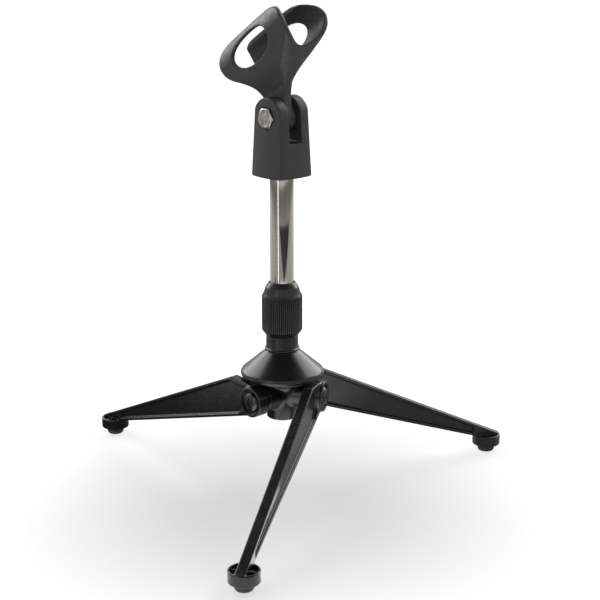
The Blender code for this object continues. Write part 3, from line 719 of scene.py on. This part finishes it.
def hub_shape(x, y, z):
    """The hub with its three lugs, its bore and the seat of the column."""
    radius = np.hypot(x, y)
    hub = inside_outline(radius, z, hub_outline())
    for side in ("front", "right", "left"):
        out = JOINTS["leg_%s_fold" % side]["axis"]
        along = x * out[0] + y * out[1]
        around = np.hypot(x * out[1] - y * out[0], z - PIVOT_Z)
        hub = either(hub, both(around - LUG, between(along, 2.0, LUG_FACE), 0.6), 1.6)
        hub = without(hub, both(around - SCREW_HOLE, 12.0 - along), 0.3)
    hub = without(hub, both(radius - HUB_BORE, z - SEAT_Z - 1.0), 0.3)
    return without(hub, both(radius - SEAT_RADIUS, SEAT_Z - z), 0.3)


def build_hub(materials):
    """The hub casting and the plug in its bore."""
    side = zones((-29.2, 29.2, 0.68))
    mesh = skin("hub", hub_shape, (side, side, zones((48.6, 99.3, 0.62))))
    piece("cast_hub", mesh, materials["enamel"], column_frame(), "base", "black_casting",
          "hub_casting")
    radius = HUB_BORE - GAP
    corners = [(0.0, 50.4, 0), (5.6, 50.4, 0.3), (6.3, HUB_BOTTOM, 0.3), (radius, HUB_BOTTOM, 0.7),
               (radius, 53.3, 0.2), (0.0, 53.3, 0)]
    mesh = lathe("bore_plug", rounded(corners), 72)
    piece("bore_plug", mesh, materials["plastic"], column_frame(), "base", "black_plastic",
          "hub_bottom_cap")


def build_column(materials):
    """The fixed tube: a collar with a low ring at its foot, and the spigot inside the clutch."""
    corners = [(8.9, 80.6, 0), (10.3, 80.6, 0.2), (10.3, 98.6, 0), (11.9, 98.6, 0.4),
               (11.9, 99.5, 0.4), (11.0, 99.9, 0.3), (11.0, 108.5, 0.4), (10.3, 108.5, 0),
               (10.3, 127.0, 0.3), (8.35, 127.0, 0.2), (8.35, 124.0, 0), (8.9, 124.0, 0)]
    mesh = lathe("column", rounded(corners), 96)
    piece("collar_tube", mesh, materials["enamel"], column_frame(), "base", "black_casting",
          "column_tube")


def build_clutch(materials):
    """The clutch nut with its band of fine straight ribs."""
    outside = [(10.6, 108.8, 0.2), (11.1, 108.8, 0.4), (13.55, 112.0, 0.5),
               (13.75, 112.6, 0.3)]
    band = [(13.8, height, 0) for height in np.linspace(113.1, 135.4, 11)]
    crown = [(13.7, 136.0, 0.3), (12.6, 137.8, 0.6), (11.2, 142.2, 1.5), (9.3, 145.1, 0.5),
             (9.0, 145.4, 0.2)]
    inside = [(8.4, 145.4, 0.2), (8.4, 142.9, 0), (9.3, 142.9, 0), (10.6, 127.4, 0)]
    outline = rounded(outside + band + crown + inside)
    ribbed = {index for index, (radius, height) in enumerate(outline)
              if radius > KNURL_INNER and KNURL_SPAN[0] < height < KNURL_SPAN[1]}

    def ribs(angle, index):
        groove = 1.0 - min(1.0, abs(math.sin(KNURL_RIBS * angle / 2.0)) / GROOVE_WIDTH)
        return -KNURL_DEPTH * groove if index in ribbed else 0.0

    mesh = lathe("clutch_nut", outline, KNURL_RIBS * 8, ribs)
    mesh.set_sharp_from_angle(angle=math.radians(80.0))
    piece("ribbed_nut", mesh, materials["enamel"], column_frame(), "clutch", "black_casting",
          "clutch_nut")


def build_tube(materials):
    """The sliding chrome tube."""
    corners = [(6.6, 119.3, 0.3), (8.0, 119.3, 0.5), (8.0, 219.6, 0.5), (6.6, 219.6, 0.3)]
    mesh = lathe("chrome_tube", rounded(corners), 128)
    piece("sliding_tube", mesh, materials["chrome"], column_frame(), "tube", "chrome_tube",
          "inner_tube")


# --- Microphone clip --------------------------------------------------------------------------

def hexagon(u, v, apothem):
    """Distance to a hexagon with flats above and below, its corners a little rounded."""
    slanted = (abs(u) * math.sqrt(3.0) + abs(v)) / 2.0 - apothem
    return both(slanted, abs(v) - apothem, 0.25)


def yoke_shape(x, y, z):
    """The forked head: a tapered block with bowed sides, a slot, and hexagonal pockets."""
    rise = (z - YOKE_BOTTOM) / (TILT_Z - YOKE_BOTTOM)
    half = YOKE_HALF[0] + (YOKE_HALF[1] - YOKE_HALF[0]) * rise
    bulge = YOKE_BULGE[0] + (YOKE_BULGE[1] - YOKE_BULGE[0]) * rise
    front = abs(x) - half - bulge * (1.0 - np.minimum((y / half) ** 2, 1.2))
    side = abs(y) - half - bulge * (1.0 - np.minimum((x / half) ** 2, 1.2))
    block = both(both(front, side, 1.5), YOKE_BOTTOM - z, 1.3)
    crown = np.hypot(y / (half + bulge + 0.3), np.maximum(z - TILT_Z, 0.0) / EAR_HEIGHT)
    block = both(block, (crown - 1.0) * EAR_HEIGHT, 0.9)
    block = without(block, both(abs(x) - SLOT_HALF, SLOT_FLOOR - z, 0.8), 0.6)
    flat = hexagon(y, z - TILT_Z, HEX_APOTHEM + 0.45)
    block = without(block, both(flat, HEX_SEAT - abs(x), 0.3), 0.35)
    block = without(block, np.hypot(y, z - TILT_Z) - BOLT - GAP, 0.1)
    return without(block, both(np.hypot(x, y) - INSERT_POCKET[0], z - INSERT_POCKET[1], 0.3), 0.4)


def bolt_shape(x, y, z):
    """Hexagon-headed bolt along x, chamfered to a round face with a dish in it."""
    radius = np.hypot(y, z - TILT_Z)
    cone = radius - (HEX_APOTHEM * 0.9 + 1.3 * (HEX_FACE - x))
    sides = both(hexagon(y, z - TILT_Z, HEX_APOTHEM), cone, 0.3)
    head = both(sides, between(x, HEX_SEAT + GAP, HEX_FACE), 0.25)
    dish = both(radius - HEX_APOTHEM * 0.74, HEX_FACE - 0.6 - x, 0.2)
    shank = both(radius - BOLT, between(x, -HEX_FACE + 0.5, HEX_SEAT + 1.0), 0.5)
    return either(without(head, dish, 0.2), shank)


def nut_shape(x, y, z):
    """Hexagon nut of the pivot bolt, on the far side."""
    radius = np.hypot(y, z - TILT_Z)
    face = -HEX_FACE + NUT_SET_BACK
    cone = radius - (HEX_APOTHEM * 0.97 + 1.8 * (x - face))
    sides = both(hexagon(y, z - TILT_Z, HEX_APOTHEM), cone, 0.3)
    nut = both(sides, between(x, face, -HEX_SEAT - GAP), 0.2)
    return without(nut, radius - BOLT - GAP, 0.3)


def build_head(materials):
    """Yoke, pivot bolt, nut and the two washers beside the tongue."""
    place = head_frame()
    side = zones((-16.6, 16.6, 0.55))
    mesh = skin("yoke", yoke_shape, (side, side, zones((216.6, 271.0, 0.6))))
    piece("forked_head", mesh, materials["plastic"], place, "yoke", "black_plastic", "clip_yoke")
    ring = zones((-7.9, 7.9, 0.25))
    lifted = ring + TILT_Z
    along = zones((-15.0, 9.0, 0.8), (9.0, 15.4, 0.2))
    mesh = skin("pivot_bolt", bolt_shape, (along, ring, lifted))
    piece("hex_bolt", mesh, materials["nickel"], place, "yoke", "nickel_steel", "pivot_bolt")
    mesh = skin("pivot_nut", nut_shape, (zones((-14.0, -9.4, 0.25)), ring, lifted))
    piece("hex_nut", mesh, materials["nickel"], place, "yoke", "nickel_steel", "pivot_nut")
    washer = washer_mesh("tilt_washer", BOLT + GAP, TILT_WASHER, *TILT_WASHER_FACES)
    for name, sign in (("tilt_washer_head", 1), ("tilt_washer_nut", -1)):
        turn = Matrix.Translation((0, 0, TILT_Z * MM)) @ Matrix.Rotation(sign * math.pi / 2, 4, "Y")
        piece("thin_" + name, washer, materials["nylon"], place @ turn, "yoke", "black_nylon", name)


def side_outline():
    """Side view of the clip: tongue, neck and cradle in one flowing line."""
    flow = smooth_path([
        (9.0, -6.0), (10.2, 2.0), (12.8, 9.0), (18.7, 15.4), (27.7, 21.0), (40.1, 27.4),
        (49.6, 34.0), (53.2, 42.0), (52.0, 49.2), (47.7, 54.4), (40.7, 58.4), (31.6, 61.0),
        (21.4, 61.7), (0.0, 61.7), (-12.8, 60.4), (-18.8, 56.4), (-21.8, 49.6), (-21.0, 41.6),
        (-17.3, 35.4), (-12.1, 30.2), (-8.4, 25.0), (-6.9, 18.6), (-7.4, 11.0), (-9.9, 3.5),
        (-10.0, -6.0)], 6)
    return arc((0.0, 0.0), TONGUE, 200, 345, 24) + flow


def section_outline():
    """View along the microphone: tongue, flare and the two walls that wrap round the trough."""
    flare = smooth_path([(2.0, 12.0), (TONGUE_HALF, 16.0), (6.6, 20.5), (11.6, 26.8), (15.7, 33.8),
                         (17.8, 39.8), (18.4, 46.0)])
    wrap = arc((0.0, TROUGH_Z), TROUGH + CLIP_WALL, 0, 68, 20)
    half = [(TONGUE_HALF, -14.0)] + flare[:-1] + wrap
    return half + [(-y, z) for y, z in half[::-1]]


def trough_outline():
    """View along the microphone: the round trough and its narrower mouth."""
    side = math.degrees(math.acos(MOUTH_HALF / TROUGH))
    trough = arc((0.0, TROUGH_Z), TROUGH, -180 - side, side, 48)
    return trough + [(MOUTH_HALF, MOUTH_TOP), (-MOUTH_HALF, MOUTH_TOP)]


def clip_shape(x, y, z):
    """The holder: tongue, neck and windowed cradle."""
    width = 1.0 + CLIP_TAPER * (x - TAPER_X)
    edge = 1.3 + 2.6 * np.exp(-((z - 25.0) / 8.0) ** 2)
    section = inside_outline(y / width, z, section_outline())
    body = both(inside_outline(x, z, side_outline()), section, edge)
    body = without(body, inside_outline(y / width, z, trough_outline()), 1.2)
    window = oval(WINDOW_CENTRE, WINDOW_HALF, WINDOW_POWER)
    body = without(body, inside_outline(x, z, window), 1.2)
    return without(body, np.hypot(x, z) - BOLT - GAP, 0.3)


def build_clip(materials):
    """The moulded clip."""
    spans = (zones((-23.6, 54.8, 0.62)), zones((-20.8, 20.8, 0.58)), zones((-11.4, 62.8, 0.62)))
    mesh = skin("clip", clip_shape, spans)
    piece("moulded_clip", mesh, materials["plastic"], clip_frame(), "clip", "black_plastic",
          "clip_body")


# --- Studio -----------------------------------------------------------------------------------

def dress_cad(materials):
    """Give the inner nodes that stay their finishes."""
    kept = {"clutch_collet": "nylon", "tube_stop_bush": "nylon", "threaded_stud": "black_steel",
            "yoke_insert": "brass"}
    for name, finish in kept.items():
        for slot in frame["nodes"][name].material_slots:
            slot.material = materials[finish]


def paper(name, colour, patch, dark, light):
    """A finish without shine for the floor, cloudy in patches of this size."""
    finish = Finish(name, colour, 0.8)
    finish.shader.inputs["Specular IOR Level"].default_value = 0.0
    finish.vary_colour(finish.noise(patch, 2.0), dark, light)
    return finish


def build_floor():
    """A wide white floor that gives off light, less of it under the stand as a painted soft shadow, and
    a duller one for reflections.
    """
    mesh = bpy.data.meshes.new("floor")
    corners = [(-FLOOR_HALF, -FLOOR_HALF, 0), (FLOOR_HALF, -FLOOR_HALF, 0),
               (FLOOR_HALF, FLOOR_HALF, 0), (-FLOOR_HALF, FLOOR_HALF, 0)]
    mesh.from_pydata(corners, [], [(0, 1, 2, 3)])
    duller = mesh.copy()
    duller.transform(Matrix.Translation((0.0, 0.0, DULL_FLOOR_RISE)))
    floor = bpy.data.objects.new("floor", mesh)
    bpy.context.scene.collection.objects.link(floor)
    finish = paper("paper_floor", (0.35, 0.35, 0.35), 0.25, (0.345, 0.344, 0.342), (0.355, 0.354, 0.352))
    # painted soft shadow under the stand: the floor gives off less light near its middle
    finish.glow_outwards(PAINTED_SHADOW_RADIUS, 0.38, 0.95)
    mesh.materials.append(finish.material)
    finish = paper("dull_floor", (0.5, 0.49, 0.475), 0.1, (0.47, 0.46, 0.445), (0.53, 0.52, 0.505))
    duller.materials.append(finish.material)
    reflections_only("dull_floor", duller)


def area_light(name, azimuth, elevation, power, reflected=True):
    """A large soft box that looks at the middle of the stand."""
    light = bpy.data.lights.new(name, "AREA")
    light.shape = "RECTANGLE"
    light.size, light.size_y = BOX_SIZE
    light.energy = power
    item = bpy.data.objects.new(name, light)
    bpy.context.scene.collection.objects.link(item)
    out = direction(azimuth, elevation)
    item.visible_camera = False
    item.visible_glossy = reflected
    item.location = Vector(BOX_AIM) + out * BOX_DISTANCE
    item.rotation_euler = out.to_track_quat("Z", "Y").to_euler()


def direction(azimuth, elevation):
    """Unit vector from the stand; azimuth 0 is towards -Y and 90 towards +X."""
    a, e = math.radians(azimuth), math.radians(elevation)
    return Vector((math.sin(a) * math.cos(e), -math.cos(a) * math.cos(e), math.sin(e)))


def reflection_card(name, near, far, colour, glow=0.0):
    """A curved card that only reflections see; near and far are (radius, height, azimuths)."""
    mesh = bpy.data.meshes.new(name)
    points, faces = [], []
    for step in range(CARD_STEPS + 1):
        for radius, height, (start, end) in (near, far):
            out = direction(start + (end - start) * step / CARD_STEPS, 0.0) * radius
            points.append((out.x, STAND_Y + out.y, height))
        if step:
            faces.append((2 * step - 2, 2 * step, 2 * step + 1, 2 * step - 1))
    mesh.from_pydata(points, [], faces)
    finish = Finish(name, colour, 0.9)
    finish.vary_roughness(finish.noise(0.01), 0.85, 0.95)
    finish.shader.inputs["Emission Color"].default_value = (1.0, 0.98, 0.95, 1.0)
    finish.shader.inputs["Emission Strength"].default_value = glow
    mesh.materials.append(finish.material)
    reflections_only(name, mesh)


def reflections_only(name, mesh):
    """Stage a mesh that glossy rays alone can see."""
    item = bpy.data.objects.new(name, mesh)
    bpy.context.scene.collection.objects.link(item)
    item.visible_camera = False
    item.visible_diffuse = False
    item.visible_shadow = False


def build_world():
    """Surroundings that turn dark overhead, so that surfaces facing up stay black.

    The camera itself sees them white, like the far floor.
    """
    world = bpy.data.worlds.new("studio")
    bpy.context.scene.world = world
    world.use_nodes = True
    tree = world.node_tree
    background = tree.nodes["Background"]
    split = tree.nodes.new("ShaderNodeSeparateXYZ")
    tree.links.new(tree.nodes.new("ShaderNodeTexCoord").outputs["Generated"], split.inputs[0])
    ramp = tree.nodes.new("ShaderNodeMapRange")
    ramp.inputs["From Min"].default_value = math.sin(math.radians(SKY_PALE[0]))
    ramp.inputs["From Max"].default_value = math.sin(math.radians(SKY_DARK[0]))
    ramp.inputs["To Min"].default_value = SKY_PALE[1]
    ramp.inputs["To Max"].default_value = SKY_DARK[1]
    tree.links.new(split.outputs["Z"], ramp.inputs["Value"])
    background.inputs["Color"].default_value = (1.0, 0.985, 0.965, 1.0)
    seen = tree.nodes.new("ShaderNodeMix")
    seen.inputs["B"].default_value = SKY_SEEN
    ray = tree.nodes.new("ShaderNodeLightPath")
    tree.links.new(ray.outputs["Is Camera Ray"], seen.inputs["Factor"])
    tree.links.new(ramp.outputs["Result"], seen.inputs["A"])
    tree.links.new(seen.outputs["Result"], background.inputs["Strength"])


def build_camera():
    """Camera at the photograph's viewing angle."""
    data = bpy.data.cameras.new("camera")
    data.lens = FOCAL_LENGTH
    data.sensor_width = SENSOR_WIDTH
    data.clip_start = 0.05
    camera = bpy.data.objects.new("camera", data)
    bpy.context.scene.collection.objects.link(camera)
    camera.location = CAMERA_PLACE
    camera.rotation_euler = (math.radians(CAMERA_TILT), 0.0, math.radians(CAMERA_TURN))
    bpy.context.scene.camera = camera


def build_studio():
    """Floor, lights, surroundings and camera."""
    build_camera()
    build_floor()
    build_world()
    black, white = (0.02, 0.02, 0.02), (0.8, 0.8, 0.8)
    reflection_card("flag", (0.42, 0.0, (24.0, 35.0)), (0.42, 0.12, (-14.0, 82.0)), black)
    reflection_card("left_flag", (0.06, 0.0006, (-130.0, -50.0)), (0.45, 0.0006, (-130.0, -50.0)),
                    black)
    reflection_card("strip", (0.42, 0.0, (-29.0, -24.0)), (0.42, 0.5, (-29.0, -24.0)), white, 2.0)
    reflection_card("near_glow", (0.03, 0.0005, (-75.0, 75.0)), (0.15, 0.0005, (-45.0, 60.0)),
                    white, 1.8)
    reflection_card("far_glow", (0.15, 0.0005, (-45.0, 60.0)), (0.405, 0.0005, (-12.0, 60.0)),
                    white, 0.9)
    reflection_card("left_glow", (0.27, 0.0008, (-93.0, -73.0)), (0.41, 0.0008, (-93.0, -73.0)),
                    white, 1.8)
    area_light("left_box", -124.0, 33.0, 17.0)
    area_light("right_box", 142.0, 31.0, 17.0)
    area_light("front_box", -20.0, 38.0, 4.0, False)
    bpy.context.scene.view_settings.view_transform = "Standard"


def build_all():
    """Everything in the scene."""
    materials = {"enamel": casting_enamel(), "plastic": moulded_plastic(), "chrome": chrome(),
                 "nickel": nickel(), "black_steel": black_steel(), "brass": brass(),
                 "nylon": nylon(), "rubber": rubber()}
    build_studio()
    build_legs(materials)
    build_hub(materials)
    build_column(materials)
    build_clutch(materials)
    build_tube(materials)
    build_head(materials)
    build_clip(materials)
    dress_cad(materials)


build_all()
